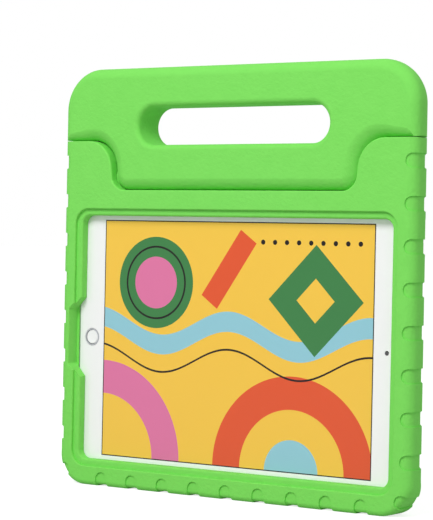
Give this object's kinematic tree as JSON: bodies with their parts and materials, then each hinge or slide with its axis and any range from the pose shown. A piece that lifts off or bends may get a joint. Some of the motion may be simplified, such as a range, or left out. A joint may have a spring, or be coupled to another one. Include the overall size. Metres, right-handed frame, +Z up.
{
  "type": "kids tablet case with handle",
  "caption": "Foam tablet case for children with a fold-back carrying handle, a finger slot, grip notches round the rim and a tablet seated behind a stepped window.",
  "frame": {"origin": "middle of the flat bottom edge that the case stands on", "axes": "+X to the right as seen from the screen side, +Y from the screen side towards the back, +Z up towards the grip"},
  "size_m": [0.2718, 0.024, 0.2776],
  "materials": {
    "foam": "matt moulded closed-cell EVA foam with a fine grain",
    "steel": "ground",
    "nylon": "moulded",
    "anodised": "bead-blasted and anodised",
    "white_glass": "clear glass with white ink behind it",
    "display": "lit panel under glass",
    "cell_wrap": "foil pouch",
    "laminate": "solder-masked board",
    "lens_glass": "coated lens"
  },
  "bodies": {
    "case": {"case_body": "foam", "hinge_pin_right": "steel", "hinge_pin_left": "steel", "shoulder_bush_right": "nylon", "shoulder_bush_left": "nylon", "tablet_housing": "anodised", "cover_glass": "white_glass", "display_panel": "display", "battery_cell_right": "cell_wrap", "battery_cell_left": "cell_wrap", "logic_board": "laminate", "speaker_upper": "nylon", "speaker_lower": "nylon", "front_camera": "lens_glass", "rear_camera": "nylon", "rear_camera_glass": "lens_glass", "charge_port": "steel", "audio_jack": "nylon", "home_switch": "nylon", "home_button_ring": "steel"},
    "handle": {"handle": "foam", "tongue_bush_right": "nylon", "tongue_bush_left": "nylon"},
    "home_button": {"home_button": "white_glass"},
    "power_button": {"power_button": "anodised"},
    "volume_up": {"volume_button_up": "anodised"},
    "volume_down": {"volume_button_down": "anodised"}
  },
  "joints": [
    {"name": "handle_fold", "type": "hinge", "parent": "case", "child": "handle", "pos_m": [0, 0.003, 0.20505], "axis": [-1, 0, 0], "range_deg": [0, 110]},
    {"name": "home_press", "type": "slide", "parent": "case", "child": "home_button", "axis": [0, 1, 0], "range_m": [0, 0.0003], "stiffness_N_per_m": 400, "springref_m": -0.0003},
    {"name": "power_press", "type": "slide", "parent": "case", "child": "power_button", "axis": [-1, 0, 0], "range_m": [0, 0.0003], "stiffness_N_per_m": 400, "springref_m": -0.0003},
    {"name": "volume_up_press", "type": "slide", "parent": "case", "child": "volume_up", "axis": [0, 0, 1], "range_m": [0, 0.0003], "stiffness_N_per_m": 400, "springref_m": -0.0003},
    {"name": "volume_down_press", "type": "slide", "parent": "case", "child": "volume_down", "axis": [0, 0, 1], "range_m": [0, 0.0003], "stiffness_N_per_m": 400, "springref_m": -0.0003}
  ]
}
